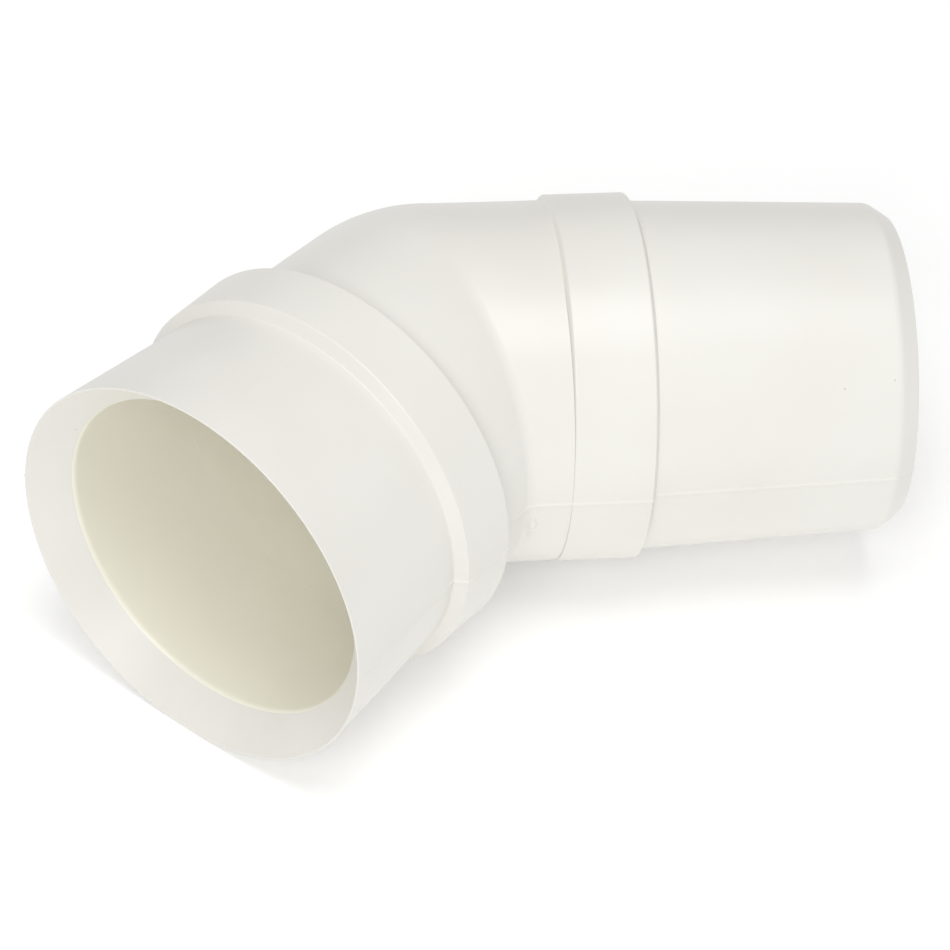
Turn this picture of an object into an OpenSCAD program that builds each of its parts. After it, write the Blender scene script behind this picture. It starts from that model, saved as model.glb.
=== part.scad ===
// A 45 degree PVC conduit elbow with a socket at its inlet and a tapered spigot at its outlet.
// The bend carries two stub ends. Each stub butts against the root of a sleeve, and a collar is
// cemented over the pair, so that the five pieces make one rigid fitting.
//
// Frame: the elbow plane is XY and +Z is its normal. The origin is at the middle of the pipe stop
// inside the socket, +X runs along the spigot towards its tip, and all sizes are in mm.
// "Along a leg" means the distance from the bend centre, where the two leg axes meet.

/* [Pipe] */
// Outside diameter of the pipe that the socket takes.
pipe_od = 110; // [109:0.5:112]
// Wall of that pipe.
pipe_wall = 3.2; // [2.2:0.1:4]
// Gap all round between the pipe and the socket.
socket_gap = 0.2; // [0.1:0.05:0.3]

/* [Bend] */
// Angle that the elbow turns the run through.
bend_angle = 45; // [30:1:60]
// Wall of the bend.
bend_wall = 4; // [3.5:0.1:4.5]
// How far the inlet stub's radius grows between the bend centre and its collar.
stub_flare = 2.5; // [2:0.1:3]
// How far the round corner of the bend stands proud of the stubs.
ball_rise = 0.5; // [0.4:0.1:1.4]

/* [Collars] */
// Outside diameter of the inlet collar.
inlet_collar_od = 129.6; // [126:0.2:132]
// Outside diameter of the outlet collar.
outlet_collar_od = 115.4; // [115:0.2:120]
// Distance along the inlet leg to the near face of its collar.
inlet_collar_start = 39; // [36:0.5:44]
// Distance along the outlet leg to the near face of its collar.
outlet_collar_start = 36.5; // [35:0.5:44]
// Distance along either leg to the far face of its collar.
collar_end = 65; // [60:0.5:70]
// Length along the leg of the slope at each side of a collar.
collar_slope = 3; // [1:0.5:5]
// Height of the small upright edge at the foot of each slope.
collar_lip = 0.4; // [0.2:0.1:0.5]

/* [Socket sleeve] */
// Distance along the inlet leg to the mouth of the socket.
inlet_length = 116; // [105:1:130]
// Outside diameter of the socket sleeve at its collar.
socket_root_od = 122; // [120:0.5:123]
// Outside diameter of the socket sleeve at its mouth.
mouth_od = 131.6; // [128:0.2:136]
// Depth of the wide bevel inside the mouth.
mouth_bevel = 11; // [6:0.5:14]
// Width of the flat edge left around the mouth.
mouth_land = 0.5; // [0.3:0.1:1]

/* [Spigot sleeve] */
// Distance along the outlet leg to the tip of the spigot.
outlet_length = 147; // [135:1:160]
// Outside diameter of the spigot where its end chamfer starts.
spigot_tip_od = 103.8; // [103:0.2:106]
// Bore of the spigot.
spigot_bore = 94; // [90:0.5:95]
// Length over which the bore narrows from the bend's to the spigot's.
reducer_length = 29; // [20:1:40]
// Length along the leg of the chamfer at the tip.
tip_chamfer_length = 6; // [3:0.5:8]
// Radial depth of the chamfer at the tip.
tip_chamfer_depth = 4.2; // [2:0.1:4.3]

/* [Hidden] */
$fn = 72;

socket_bore_radius = pipe_od / 2 + socket_gap;
duct_radius = pipe_od / 2 - pipe_wall + socket_gap;
bend_radius = duct_radius + bend_wall;
stub_end_radius = bend_radius + stub_flare;

// The duct is cut past the ball, which reaches beyond the stubs' ends.
duct_reach = 2 * bend_radius;

// Each collar sits on a seat turned into the stub's end and the sleeve's root.
inlet_seat_radius = stub_end_radius - 0.5;
outlet_seat_radius = bend_radius - 1.5;

// The stub and the sleeve meet under the middle of the collar.
pipe_stop = (inlet_collar_start + collar_end) / 2;
outlet_joint = (outlet_collar_start + collar_end) / 2;

inlet_heading = 180 + bend_angle;
plastic_colour = [0.91, 0.90, 0.88];
collar_colour = [0.93, 0.93, 0.91];

// Puts the middle of the pipe stop at the origin.
module in_frame() {
    translate([-pipe_stop * cos(inlet_heading), -pipe_stop * sin(inlet_heading), 0])
        children();
}

// Turns a shape built along +Z onto the outlet leg.
module along_outlet() {
    rotate([0, 90, 0])
        children();
}

// Turns a shape built along +Z onto the inlet leg.
module along_inlet() {
    rotate([0, 0, inlet_heading])
        rotate([0, 90, 0])
            children();
}

// The ball that rounds the corner where two legs of this radius meet. It stands a little proud of
// them, and its poles lie inside the legs.
module corner_ball(leg_radius) {
    rotate([0, 90, 0])
        sphere(r = leg_radius + ball_rise);
}

// One end of the bend, which may flare as far as its collar, then steps down to the collar's seat.
module stub(end_radius, collar_start, seat_radius, joint) {
    rotate_extrude()
        polygon([
            [0, 0],
            [bend_radius, 0],
            [end_radius, collar_start],
            [seat_radius, collar_start],
            [seat_radius, joint],
            [0, joint],
        ]);
}

module bend_outside() {
    corner_ball(bend_radius);
    along_outlet()
        stub(bend_radius, outlet_collar_start, outlet_seat_radius, outlet_joint);
    along_inlet()
        stub(stub_end_radius, inlet_collar_start, inlet_seat_radius, pipe_stop);
}

module bend_duct() {
    corner_ball(duct_radius);
    along_outlet()
        cylinder(r = duct_radius, h = duct_reach);
    along_inlet()
        cylinder(r = duct_radius, h = duct_reach);
}

module bend() {
    color(plastic_colour)
        difference() {
            bend_outside();
            bend_duct();
        }
}

// A band with a slope at each side, cemented over a seat.
module collar(start, seat_radius, stub_radius, sleeve_radius, outer_radius) {
    rotate_extrude()
        polygon([
            [seat_radius, start],
            [stub_radius + collar_lip, start],
            [outer_radius, start + collar_slope],
            [outer_radius, collar_end - collar_slope],
            [sleeve_radius + collar_lip, collar_end],
            [seat_radius, collar_end],
        ]);
}

module inlet_collar() {
    color(collar_colour)
        along_inlet()
            collar(inlet_collar_start, inlet_seat_radius, stub_end_radius, socket_root_od / 2,
                   inlet_collar_od / 2);
}

module outlet_collar() {
    color(collar_colour)
        along_outlet()
            collar(outlet_collar_start, outlet_seat_radius, bend_radius, pipe_od / 2,
                   outlet_collar_od / 2);
}

// The sleeve that the pipe is pushed into, as far as the bend's stub end.
module inlet_socket() {
    color(plastic_colour)
        along_inlet()
            rotate_extrude()
                polygon([
                    [socket_bore_radius, pipe_stop],
                    [inlet_seat_radius, pipe_stop],
                    [inlet_seat_radius, collar_end],
                    [socket_root_od / 2, collar_end],
                    [mouth_od / 2, inlet_length],
                    [mouth_od / 2 - mouth_land, inlet_length],
                    [socket_bore_radius, inlet_length - mouth_bevel],
                ]);
}

// The tapered sleeve that goes into the next fitting's socket.
module outlet_spigot() {
    color(plastic_colour)
        along_outlet()
            rotate_extrude()
                polygon([
                    [duct_radius, outlet_joint],
                    [outlet_seat_radius, outlet_joint],
                    [outlet_seat_radius, collar_end],
                    [pipe_od / 2, collar_end],
                    [spigot_tip_od / 2, outlet_length - tip_chamfer_length],
                    [spigot_tip_od / 2 - tip_chamfer_depth, outlet_length],
                    [spigot_bore / 2, outlet_length],
                    [spigot_bore / 2, outlet_joint + reducer_length],
                ]);
}

in_frame() bend();
in_frame() inlet_collar();
in_frame() outlet_collar();
in_frame() inlet_socket();
in_frame() outlet_spigot();
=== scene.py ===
"""Looks of the 45 degree PVC conduit elbow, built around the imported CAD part.

Every piece is a new mesh that stands for one CAD node. Lengths are in metres in the row frame,
whose origin is at the pipe stop, with +X along the spigot and +Z normal to the elbow plane.
"""

import math

import bmesh
import bpy
from mathutils import Euler, Matrix, Vector


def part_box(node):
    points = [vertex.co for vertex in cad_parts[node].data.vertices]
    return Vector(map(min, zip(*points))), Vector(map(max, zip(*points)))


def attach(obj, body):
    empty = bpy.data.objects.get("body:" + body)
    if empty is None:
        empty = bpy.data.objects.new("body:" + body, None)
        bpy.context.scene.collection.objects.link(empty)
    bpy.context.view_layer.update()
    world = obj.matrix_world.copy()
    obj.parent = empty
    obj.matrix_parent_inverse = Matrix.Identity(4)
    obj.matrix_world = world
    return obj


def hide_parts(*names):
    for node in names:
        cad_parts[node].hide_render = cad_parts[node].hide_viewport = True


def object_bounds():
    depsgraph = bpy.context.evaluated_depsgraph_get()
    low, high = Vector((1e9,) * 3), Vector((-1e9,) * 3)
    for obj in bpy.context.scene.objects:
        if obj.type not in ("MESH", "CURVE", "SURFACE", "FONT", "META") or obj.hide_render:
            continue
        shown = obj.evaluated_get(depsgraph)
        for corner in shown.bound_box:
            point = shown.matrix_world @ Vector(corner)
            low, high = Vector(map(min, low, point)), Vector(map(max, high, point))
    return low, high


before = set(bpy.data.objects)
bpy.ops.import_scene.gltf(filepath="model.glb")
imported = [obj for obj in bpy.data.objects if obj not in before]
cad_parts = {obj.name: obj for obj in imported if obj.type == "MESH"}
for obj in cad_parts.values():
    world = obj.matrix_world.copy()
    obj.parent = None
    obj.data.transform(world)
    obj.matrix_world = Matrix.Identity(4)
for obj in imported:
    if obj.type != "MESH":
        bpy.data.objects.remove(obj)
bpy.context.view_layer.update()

MM = 0.001
BEND_ANGLE = math.radians(45)

# The two legs, as directions that run outwards from the bend centre.
OUTLET = Vector((1, 0, 0))
INLET = Vector((-math.cos(BEND_ANGLE), -math.sin(BEND_ANGLE), 0))
NORMAL = Vector((0, 0, 1))
# The way that the throat faces, halfway between the legs.
CONCAVE = (OUTLET + INLET).normalized()


# ---------------------------------------------------------------- sizes read from the frame

# The stop is at the origin, so the bend centre lies on the inlet's axis, level with the outlet's.
outlet_low, outlet_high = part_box("outlet_spigot")
PIPE_STOP = (outlet_low[1] + outlet_high[1]) / 2 / math.sin(BEND_ANGLE)
BEND_CENTRE = -INLET * PIPE_STOP


def leg_span(node, leg):
    """Nearest and furthest distance of a CAD node along a leg from the bend centre."""
    reach = [(vertex.co - BEND_CENTRE).dot(leg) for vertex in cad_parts[node].data.vertices]
    return min(reach), max(reach)


def leg_radii(node, leg):
    """Smallest and largest distance of a CAD node's vertices from a leg's axis."""
    offsets = [vertex.co - BEND_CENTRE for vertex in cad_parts[node].data.vertices]
    radii = [(offset - leg * offset.dot(leg)).length for offset in offsets]
    return min(radii), max(radii)


INLET_COLLAR_START, COLLAR_END = leg_span("inlet_collar", INLET)
OUTLET_COLLAR_START = leg_span("outlet_collar", OUTLET)[0]
INLET_LENGTH = leg_span("inlet_socket", INLET)[1]
OUTLET_JOINT, OUTLET_LENGTH = leg_span("outlet_spigot", OUTLET)

SOCKET_BORE, MOUTH_RADIUS = leg_radii("inlet_socket", INLET)
SPIGOT_BORE, PIPE_RADIUS = leg_radii("outlet_spigot", OUTLET)
INLET_SEAT, INLET_COLLAR_RADIUS = leg_radii("inlet_collar", INLET)
OUTLET_SEAT, OUTLET_COLLAR_RADIUS = leg_radii("outlet_collar", OUTLET)

# Sizes of the CAD part that its vertices' reach alone doesn't give.
INLET_SEAT_DEPTH = 0.5 * MM
OUTLET_SEAT_DEPTH = 1.5 * MM
BEND_WALL = 4 * MM
SOCKET_ROOT_RADIUS = 61 * MM
SPIGOT_TIP_RADIUS = 51.9 * MM
MOUTH_BEVEL = 11 * MM
MOUTH_LAND = 0.5 * MM
TIP_CHAMFER_LENGTH = 6 * MM
TIP_CHAMFER_DEPTH = 4.2 * MM
REDUCER_LENGTH = 29 * MM

BEND_RADIUS = OUTLET_SEAT + OUTLET_SEAT_DEPTH
DUCT_RADIUS = BEND_RADIUS - BEND_WALL
STUB_END_RADIUS = INLET_SEAT + INLET_SEAT_DEPTH


# ---------------------------------------------------------------- sizes of the moulded detail

# The corner of the bend is sharp at the throat and as round as the bend on its outer side.
THROAT_FILLET = 5 * MM
CORNER_BLEND = 8 * MM
# The inlet stub starts to flare before the bend centre, and the duct opens softly into the socket,
# just short of its bore.
FLARE_START = -40 * MM
DUCT_OPENING_START = 0
DUCT_OPENING = SOCKET_BORE - 0.05 * MM

# The outlet collar's slopes are steeper here than in the CAD part, as they are in the photo.
INLET_COLLAR_SLOPE = 3 * MM
OUTLET_COLLAR_SLOPE = 1.8 * MM
COLLAR_EDGE_ROUNDING = 0.6 * MM
# A soft foot where a collar's slope runs out onto its neighbour.
FOOT_LENGTH = 0.6 * MM
FOOT_HEIGHT = 0.1 * MM
FOOT_ROUNDING = 0.4 * MM

MOUTH_OUTER_ROUNDING = 0.2 * MM
MOUTH_INNER_ROUNDING = 0.15 * MM
BEVEL_ROUNDING = 3 * MM
TIP_SHOULDER_ROUNDING = 4 * MM
TIP_OUTER_ROUNDING = 0.3 * MM
TIP_INNER_ROUNDING = 0.2 * MM
REDUCER_ROUNDING = 6 * MM

# The ridge that the two mould halves leave in the elbow plane.
RIDGE_HALF_WIDTH = 0.8 * MM
RIDGE_HEIGHT = 0.35 * MM
# The torn stub of plastic where the mould was filled, in the crease of the throat.
SCAR_START = 1 * MM
SCAR_LENGTH = 21 * MM
SCAR_WIDTH = 3.6 * MM
SCAR_RISE = 1.8 * MM
SCAR_SHIFT = 3 * MM
SCAR_UNEVENNESS = 0.35
SCAR_SLOW_WAVE = 9
SCAR_FAST_WAVE = 23


# ---------------------------------------------------------------- turned meshes

SEGMENTS = 240
# Each parting line has this many close steps at either side of it.
RIDGE_STEPS = 4
RIDGE_STEP = 0.2 * MM
CORNER_STEPS = 6
# A side longer than so many gaps gets a supporting point this far from either end.
SUPPORT_GAP = 0.35 * MM
LONG_SIDE = 4
SHARP_ANGLE = math.radians(40)
# How squarely a face or point of the skin looks away from its leg's axis, from -1 to 1.
OUTER_SKIN = 0.5
BORE_SKIN = -0.8


def turns_about_axis():
    """Angles about a leg, even all round but close together at the two parting lines."""
    even = [math.tau * j / SEGMENTS for j in range(SEGMENTS)]
    steps = [k for k in range(-RIDGE_STEPS, RIDGE_STEPS + 1) if k != 0]
    fine = [RIDGE_STEP * k / BEND_RADIUS for k in steps]
    at_throat = [turn % math.tau for turn in fine]
    at_back = [math.pi + turn for turn in fine]
    return sorted(even + at_throat + at_back)


TURNS = turns_about_axis()


def rounded(outline):
    """The points of a closed outline of (distance, radius, rounding) with its corners as arcs."""
    corners = [Vector((distance, radius)) for distance, radius, _ in outline]
    points = []
    for i, here in enumerate(corners):
        rounding = outline[i][2]
        if rounding == 0:
            points.append(here)
            continue
        back = (corners[i - 1] - here).normalized()
        ahead = (corners[(i + 1) % len(corners)] - here).normalized()
        half = back.angle(ahead) / 2
        centre = here + (back + ahead).normalized() * (rounding / math.sin(half))
        start = here + back * (rounding / math.tan(half)) - centre
        end = here + ahead * (rounding / math.tan(half)) - centre
        turn = math.atan2(start.x * end.y - start.y * end.x, start.dot(end))
        for k in range(CORNER_STEPS + 1):
            points.append(centre + Matrix.Rotation(turn * k / CORNER_STEPS, 2) @ start)
    return points


def with_support(points):
    """The same outline with a point near each end of every long side, so that it shades flat."""
    supported = []
    for i, here in enumerate(points):
        ahead = points[(i + 1) % len(points)]
        supported.append(here)
        side = ahead - here
        if side.length > LONG_SIDE * SUPPORT_GAP:
            supported.append(here + side.normalized() * SUPPORT_GAP)
            supported.append(ahead - side.normalized() * SUPPORT_GAP)
    return supported


def leg_point(leg, distance, radius, turn):
    """A point at a distance along a leg, off its axis at an angle from the concave side."""
    side = (CONCAVE - leg * CONCAVE.dot(leg)).normalized()
    offset = side * (radius * math.cos(turn)) + NORMAL * (radius * math.sin(turn))
    return BEND_CENTRE + leg * distance + offset


def leg_ring(leg, distance, radius):
    """A ring of points round a leg's axis."""
    return [leg_point(leg, distance, radius, turn) for turn in TURNS]


def from_leg_axis(point):
    """The way straight out from the axis of the leg that a point lies on."""
    reach = point - BEND_CENTRE
    leg = OUTLET if reach.dot(OUTLET) > reach.dot(INLET) else INLET
    return (reach - leg * reach.dot(leg)).normalized()


def raise_parting_line(bm):
    """Lifts the outer skin into a fine ridge where it crosses the elbow plane."""
    bm.normal_update()
    lifts = []
    for vert in bm.verts:
        share = abs(vert.co.z) / RIDGE_HALF_WIDTH
        if share < 1 and vert.normal.dot(from_leg_axis(vert.co)) > OUTER_SKIN:
            lifts.append((vert, vert.normal * (RIDGE_HEIGHT * (1 + math.cos(math.pi * share)) / 2)))
    for vert, lift in lifts:
        vert.co += lift


def object_from(bm, name):
    """An object made from a finished bmesh, smooth-shaded except over sharp edges."""
    bm.normal_update()
    for face in bm.faces:
        face.smooth = True
    for edge in bm.edges:
        edge.smooth = edge.calc_face_angle(0) < SHARP_ANGLE
    mesh = bpy.data.meshes.new(name)
    bm.to_mesh(mesh)
    bm.free()
    piece = bpy.data.objects.new(name, mesh)
    bpy.context.scene.collection.objects.link(piece)
    return piece


def skin_between(bm, ring, following):
    """Joins two rings of the same number of points with a band of faces."""
    for j, vert in enumerate(ring):
        k = (j + 1) % len(ring)
        bm.faces.new((vert, ring[k], following[k], following[j]))


def mesh_from_rings(name, rings):
    """A closed skin through rings of points that wrap round both ways."""
    bm = bmesh.new()
    grid = [[bm.verts.new(point) for point in ring] for ring in rings]
    for i, ring in enumerate(grid):
        skin_between(bm, ring, grid[(i + 1) % len(grid)])
    bmesh.ops.recalc_face_normals(bm, faces=bm.faces)
    raise_parting_line(bm)
    return object_from(bm, name)


def turned(name, leg, outline):
    """A closed outline of (distance, radius, rounding) corners turned about a leg's axis."""
    profile = with_support(rounded(outline))
    return mesh_from_rings(name, [leg_ring(leg, point.x, point.y) for point in profile])


# ---------------------------------------------------------------- the bend

BEND_ARC_STEPS = 24
BEND_LEG_STEPS = 10


def smoothstep(share):
    """Eases a share from 0 to 1, level at both ends."""
    share = min(max(share, 0), 1)
    return share * share * (3 - 2 * share)


def corner_radius(offset):
    """Radius of the bend's corner for a line that lies this far outwards from the centre line."""
    gap = offset - THROAT_FILLET
    return (THROAT_FILLET + offset + math.hypot(gap, CORNER_BLEND)) / 2


def widened(point, radius, wide_radius, start, end):
    """Moves a point outwards from the inlet's axis, more and more from start to end."""
    distance = (point - BEND_CENTRE).dot(INLET)
    share = smoothstep((distance - start) / (end - start))
    on_axis = BEND_CENTRE + INLET * distance
    return on_axis + (point - on_axis) * (1 + (wide_radius / radius - 1) * share)


def bend_line(radius, turn, outlet_end, inlet_end):
    """One line along the bend's skin, from the outlet end round the corner to the inlet end."""
    offset = -radius * math.cos(turn)
    arc_radius = corner_radius(offset)
    tangent = (arc_radius - offset) * math.tan(BEND_ANGLE / 2)
    arc_centre = BEND_CENTRE + CONCAVE * ((arc_radius - offset) / math.cos(BEND_ANGLE / 2))
    arc_centre += NORMAL * (radius * math.sin(turn))
    line = []
    for k in range(BEND_LEG_STEPS):
        distance = outlet_end + (tangent - outlet_end) * k / BEND_LEG_STEPS
        line.append(leg_point(OUTLET, distance, radius, turn))
    for k in range(BEND_ARC_STEPS + 1):
        angle = math.pi / 2 + BEND_ANGLE * k / BEND_ARC_STEPS
        line.append(arc_centre + Vector((math.cos(angle), math.sin(angle), 0)) * arc_radius)
    for k in range(1, BEND_LEG_STEPS + 1):
        distance = tangent + (inlet_end - tangent) * k / BEND_LEG_STEPS
        line.append(leg_point(INLET, distance, radius, turn))
    return line


def rings_along(lines):
    """Turns lines that run along the bend into rings that run round it."""
    return [list(ring) for ring in zip(*lines)]


def make_bend():
    """The elbow's body, with a stub end under each collar and the duct through it."""
    outside = [[widened(point, BEND_RADIUS, STUB_END_RADIUS, FLARE_START, INLET_COLLAR_START)
                for point in bend_line(BEND_RADIUS, turn, OUTLET_COLLAR_START, INLET_COLLAR_START)]
               for turn in TURNS]
    duct = [[widened(point, DUCT_RADIUS, DUCT_OPENING, DUCT_OPENING_START, PIPE_STOP)
             for point in bend_line(DUCT_RADIUS, turn, OUTLET_JOINT, PIPE_STOP)]
            for turn in TURNS]
    rings = [
        leg_ring(OUTLET, OUTLET_JOINT, OUTLET_SEAT),
        leg_ring(OUTLET, OUTLET_COLLAR_START, OUTLET_SEAT),
        *rings_along(outside),
        leg_ring(INLET, INLET_COLLAR_START, INLET_SEAT),
        leg_ring(INLET, PIPE_STOP, INLET_SEAT),
        *reversed(rings_along(duct)),
    ]
    return mesh_from_rings("elbow_bend", rings)


# ---------------------------------------------------------------- the collars and the sleeves

def make_collar(name, leg, start, slope, seat, stub_radius, sleeve_radius, outer):
    """A raised band whose slopes run out softly onto the stub and the sleeve."""
    return turned(name, leg, [
        (start, seat, 0),
        (start, stub_radius + FOOT_HEIGHT / 2, 0),
        (start + FOOT_LENGTH, stub_radius + FOOT_HEIGHT, FOOT_ROUNDING),
        (start + slope, outer, COLLAR_EDGE_ROUNDING),
        (COLLAR_END - slope, outer, COLLAR_EDGE_ROUNDING),
        (COLLAR_END - FOOT_LENGTH, sleeve_radius + FOOT_HEIGHT, FOOT_ROUNDING),
        (COLLAR_END, sleeve_radius + FOOT_HEIGHT / 2, 0),
        (COLLAR_END, seat, 0),
    ])


def make_socket():
    """The sleeve that the pipe goes into, with a wide bevel inside its mouth."""
    return turned("socket_sleeve", INLET, [
        (PIPE_STOP, SOCKET_BORE, 0),
        (PIPE_STOP, INLET_SEAT, 0),
        (COLLAR_END, INLET_SEAT, 0),
        (COLLAR_END, SOCKET_ROOT_RADIUS, 0),
        (INLET_LENGTH, MOUTH_RADIUS, MOUTH_OUTER_ROUNDING),
        (INLET_LENGTH, MOUTH_RADIUS - MOUTH_LAND, MOUTH_INNER_ROUNDING),
        (INLET_LENGTH - MOUTH_BEVEL, SOCKET_BORE, BEVEL_ROUNDING),
    ])


def make_spigot():
    """The tapered sleeve, with a rounded chamfer at its tip."""
    return turned("spigot_sleeve", OUTLET, [
        (OUTLET_JOINT, DUCT_RADIUS, 0),
        (OUTLET_JOINT, OUTLET_SEAT, 0),
        (COLLAR_END, OUTLET_SEAT, 0),
        (COLLAR_END, PIPE_RADIUS, 0),
        (OUTLET_LENGTH - TIP_CHAMFER_LENGTH, SPIGOT_TIP_RADIUS, TIP_SHOULDER_ROUNDING),
        (OUTLET_LENGTH, SPIGOT_TIP_RADIUS - TIP_CHAMFER_DEPTH, TIP_OUTER_ROUNDING),
        (OUTLET_LENGTH, SPIGOT_BORE, TIP_INNER_ROUNDING),
        (OUTLET_JOINT + REDUCER_LENGTH, SPIGOT_BORE, REDUCER_ROUNDING),
    ])


def throat_point(z):
    """The bottom of the throat's crease at a height above or below the elbow plane."""
    line = bend_line(BEND_RADIUS, math.asin(z / BEND_RADIUS), OUTLET_COLLAR_START, INLET_COLLAR_START)
    return line[len(line) // 2]


def scar_ring(share, columns):
    """The points round the scar's bead at a share of its length."""
    across = CONCAVE.cross(NORMAL)
    swell = math.sqrt(math.sin(math.pi * share))
    torn = 1 + SCAR_UNEVENNESS * math.sin(SCAR_SLOW_WAVE * share) * math.sin(SCAR_FAST_WAVE * share)
    middle = throat_point(SCAR_START - SCAR_LENGTH * share) + OUTLET * SCAR_SHIFT
    points = []
    for j in range(columns):
        angle = math.tau * j / columns
        aside = across * (math.cos(angle) * SCAR_WIDTH * swell / 2)
        out = CONCAVE * (math.sin(angle) * SCAR_RISE * swell * torn)
        points.append(middle + aside + out)
    return points


def make_gate_scar(rows=26, columns=12):
    """A torn, uneven bead below the parting line, on the outlet's side of the crease."""
    bm = bmesh.new()
    grid = [[bm.verts.new(point) for point in scar_ring(i / rows, columns)] for i in range(1, rows)]
    for ring, following in zip(grid, grid[1:]):
        skin_between(bm, ring, following)
    bm.faces.new(grid[0])
    bm.faces.new(grid[-1])
    bmesh.ops.recalc_face_normals(bm, faces=bm.faces)
    return object_from(bm, "gate_scar")


# ---------------------------------------------------------------- material

PVC_IOR = 1.53
ROUGHNESS_RANGE = (0.3, 0.4)
SPECK_COLOUR = (0.42, 0.38, 0.32, 1)
# The tint turns from its deep to its pale shade between these values of the noise.
TINT_TURN = (0.35, 0.65)
# A speck is solid out to the first of these shares of a cell, and gone at the second.
SPECK_FADE = (0.012, 0.022)

# Noise features and speck cells per metre.
TINT_SCALE = 18
SPECK_CELLS = 55
GLOSS_SCALE = 70
PEEL_SCALE = 900
WAVE_SCALE = 45


def pvc_material(name, deep_tint, pale_tint, speck_strength):
    """Moulded PVC: a slight tint drift, fine orange peel, uneven gloss and a few specks."""
    material = bpy.data.materials.new(name)
    material.use_nodes = True
    tree = material.node_tree
    shader = tree.nodes["Principled BSDF"]
    shader.inputs["IOR"].default_value = PVC_IOR
    place = tree.nodes.new("ShaderNodeTexCoord").outputs["Object"]

    def noise(scale, detail):
        node = tree.nodes.new("ShaderNodeTexNoise")
        node.inputs["Scale"].default_value = scale
        node.inputs["Detail"].default_value = detail
        tree.links.new(place, node.inputs["Vector"])
        return node.outputs["Fac"]

    def ramp(value, positions, colours):
        node = tree.nodes.new("ShaderNodeValToRGB")
        for element, position, colour in zip(node.color_ramp.elements, positions, colours):
            element.position = position
            element.color = (*colour, 1)
        tree.links.new(value, node.inputs["Fac"])
        return node.outputs["Color"]

    def bump(height, strength, distance):
        node = tree.nodes.new("ShaderNodeBump")
        node.inputs["Strength"].default_value = strength
        node.inputs["Distance"].default_value = distance
        tree.links.new(height, node.inputs["Height"])
        return node

    tint = ramp(noise(TINT_SCALE, detail=3), TINT_TURN, (deep_tint, pale_tint))

    # Specks of burnt plastic, about half a millimetre across and several centimetres apart.
    cells = tree.nodes.new("ShaderNodeTexVoronoi")
    cells.inputs["Scale"].default_value = SPECK_CELLS
    tree.links.new(place, cells.inputs["Vector"])
    specked = tree.nodes.new("ShaderNodeMix")
    specked.data_type = "RGBA"
    spot = ramp(cells.outputs["Distance"], SPECK_FADE, ((speck_strength,) * 3, (0, 0, 0)))
    tree.links.new(spot, specked.inputs["Factor"])
    tree.links.new(tint, specked.inputs["A"])
    specked.inputs["B"].default_value = SPECK_COLOUR
    tree.links.new(specked.outputs["Result"], shader.inputs["Base Color"])

    gloss = tree.nodes.new("ShaderNodeMapRange")
    gloss.inputs["To Min"].default_value, gloss.inputs["To Max"].default_value = ROUGHNESS_RANGE
    tree.links.new(noise(GLOSS_SCALE, detail=4), gloss.inputs["Value"])
    tree.links.new(gloss.outputs["Result"], shader.inputs["Roughness"])

    peel = bump(noise(PEEL_SCALE, detail=2), strength=0.25, distance=0.05 * MM)
    waves = bump(noise(WAVE_SCALE, detail=1), strength=0.3, distance=0.4 * MM)
    tree.links.new(peel.outputs["Normal"], waves.inputs["Normal"])
    tree.links.new(waves.outputs["Normal"], shader.inputs["Normal"])
    return material


def paint_inside(mesh):
    """Gives the bores, whose faces look straight in at a leg's axis, the second material, whose paler
    and warmer tint is painted light.
    """
    for face in mesh.polygons:
        if face.normal.dot(from_leg_axis(face.center)) < BORE_SKIN:
            face.material_index = 1


# ---------------------------------------------------------------- the pieces, dressed and placed

pieces = {
    "bend": make_bend(),
    "inlet_collar": make_collar("socket_collar", INLET, INLET_COLLAR_START, INLET_COLLAR_SLOPE,
                                INLET_SEAT, STUB_END_RADIUS, SOCKET_ROOT_RADIUS, INLET_COLLAR_RADIUS),
    "outlet_collar": make_collar("spigot_collar", OUTLET, OUTLET_COLLAR_START, OUTLET_COLLAR_SLOPE,
                                 OUTLET_SEAT, BEND_RADIUS, PIPE_RADIUS, OUTLET_COLLAR_RADIUS),
    "inlet_socket": make_socket(),
    "outlet_spigot": make_spigot(),
}
for node, piece in pieces.items():
    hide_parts(node)

white = pvc_material("white_pvc", deep_tint=(0.785, 0.768, 0.718), pale_tint=(0.81, 0.797, 0.75),
                     speck_strength=0.6)
# The inside copy is the same plastic with painted light: its paler, warmer tints stand in for light
# that comes through the thin walls and in at the mouth.
inside_painted_light = pvc_material("white_pvc_inside_painted_light", deep_tint=(0.925, 0.90, 0.79), pale_tint=(0.945, 0.922, 0.815),
                     speck_strength=0)
for piece in [*pieces.values(), make_gate_scar()]:
    piece.data.materials.append(white)
    piece.data.materials.append(inside_painted_light)
    paint_inside(piece.data)
    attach(piece, "root")


# ---------------------------------------------------------------- floor, light and camera

AZIMUTH = math.radians(-10.36)
ELEVATION = math.radians(43.52)
ROLL = math.radians(4.97)
DISTANCE = 1.5915
LENS_MM = 191.8
SENSOR_MM = 36
# The middle of the picture lies to the right of and below the bend centre.
AIM_RIGHT = 14.8 * MM
AIM_DOWN = 29.25 * MM
# The floor glows a little like a light table, which thins the part's shadow.
FLOOR_GLOW = 0.16
FLOOR_COLOUR = (0.95, 0.95, 0.95, 1)
FLOOR_HALF_SIZE = 4


def towards(azimuth, elevation):
    """The direction from the part to a place at these angles, in degrees."""
    azimuth, elevation = math.radians(azimuth), math.radians(elevation)
    level = math.cos(elevation)
    return Vector((math.sin(azimuth) * level, -math.cos(azimuth) * level, math.sin(elevation)))


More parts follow.
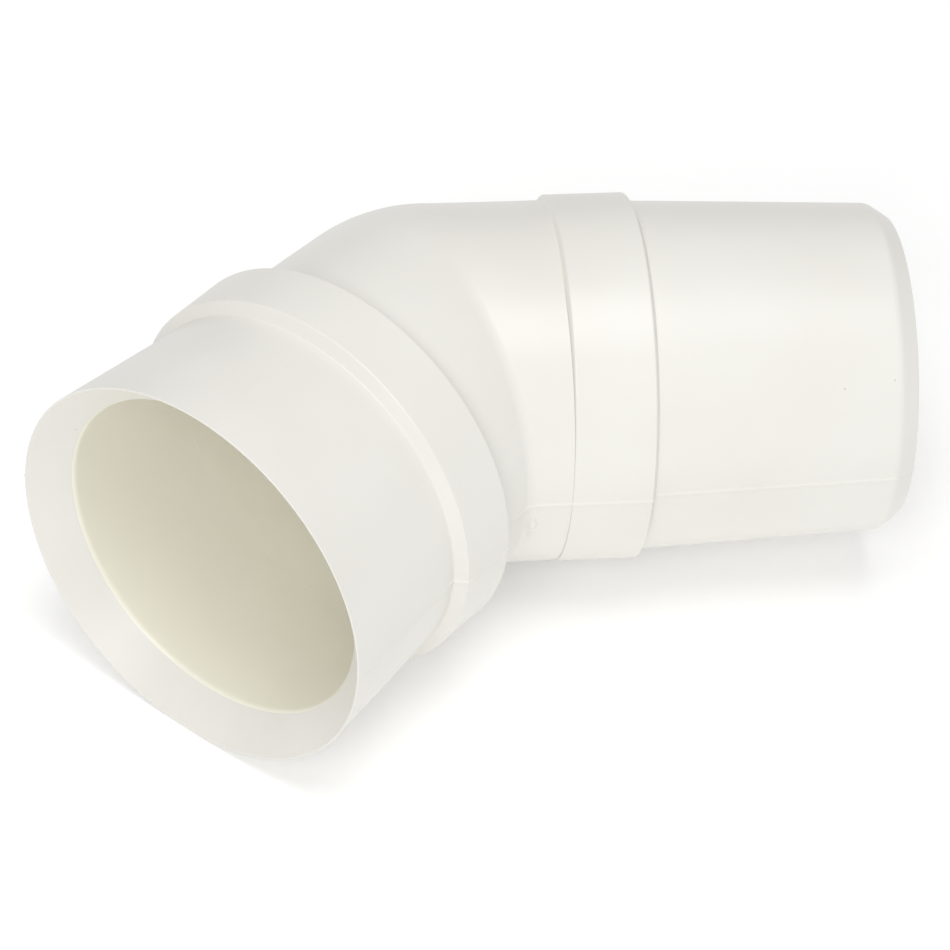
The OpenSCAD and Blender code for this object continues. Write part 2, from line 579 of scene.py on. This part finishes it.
def make_floor():
    """A plain pale square under the lowest point of the part."""
    half = FLOOR_HALF_SIZE
    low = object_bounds()[0][2]
    mesh = bpy.data.meshes.new("floor")
    corners = [(-half, -half, low), (half, -half, low), (half, half, low), (-half, half, low)]
    mesh.from_pydata(corners, [], [(0, 1, 2, 3)])
    floor = bpy.data.objects.new("floor", mesh)
    bpy.context.scene.collection.objects.link(floor)
    paper = bpy.data.materials.new("paper")
    paper.use_nodes = True
    shader = paper.node_tree.nodes["Principled BSDF"]
    shader.inputs["Base Color"].default_value = FLOOR_COLOUR
    shader.inputs["Roughness"].default_value = 1
    shader.inputs["Specular IOR Level"].default_value = 0
    shader.inputs["Emission Color"].default_value = (1, 1, 1, 1)
    shader.inputs["Emission Strength"].default_value = FLOOR_GLOW
    mesh.materials.append(paper)


def add_softbox(name, azimuth, elevation, distance, size, watts):
    """A square area light that looks at the bend centre."""
    data = bpy.data.lights.new(name, "AREA")
    data.size = size
    data.energy = watts
    light = bpy.data.objects.new(name, data)
    direction = towards(azimuth, elevation)
    light.location = BEND_CENTRE + direction * distance
    light.rotation_mode = "QUATERNION"
    light.rotation_quaternion = direction.to_track_quat("Z", "Y")
    bpy.context.scene.collection.objects.link(light)


def make_world(strength):
    """An even white surround."""
    world = bpy.data.worlds.new("studio")
    world.use_nodes = True
    background = world.node_tree.nodes["Background"]
    background.inputs["Color"].default_value = (1, 1, 1, 1)
    background.inputs["Strength"].default_value = strength
    bpy.context.scene.world = world


def make_camera():
    """The photo's view, from a long lens turned a little about its own axis."""
    turn = Euler((math.pi / 2 - ELEVATION, 0, AZIMUTH)).to_matrix() @ Matrix.Rotation(ROLL, 3, "Z")
    data = bpy.data.cameras.new("camera")
    data.sensor_width = SENSOR_MM
    data.lens = LENS_MM
    camera = bpy.data.objects.new("camera", data)
    place = BEND_CENTRE + turn @ Vector((AIM_RIGHT, -AIM_DOWN, DISTANCE))
    camera.matrix_world = Matrix.Translation(place) @ turn.to_4x4()
    bpy.context.scene.collection.objects.link(camera)
    bpy.context.scene.camera = camera


make_floor()
make_world(strength=0.5)
add_softbox("overhead", azimuth=-5, elevation=78, distance=1.6, size=0.9, watts=10.5)
add_softbox("front", azimuth=-18, elevation=38, distance=1.6, size=0.6, watts=6.5)
make_camera()
bpy.context.scene.view_settings.view_transform = "Standard"
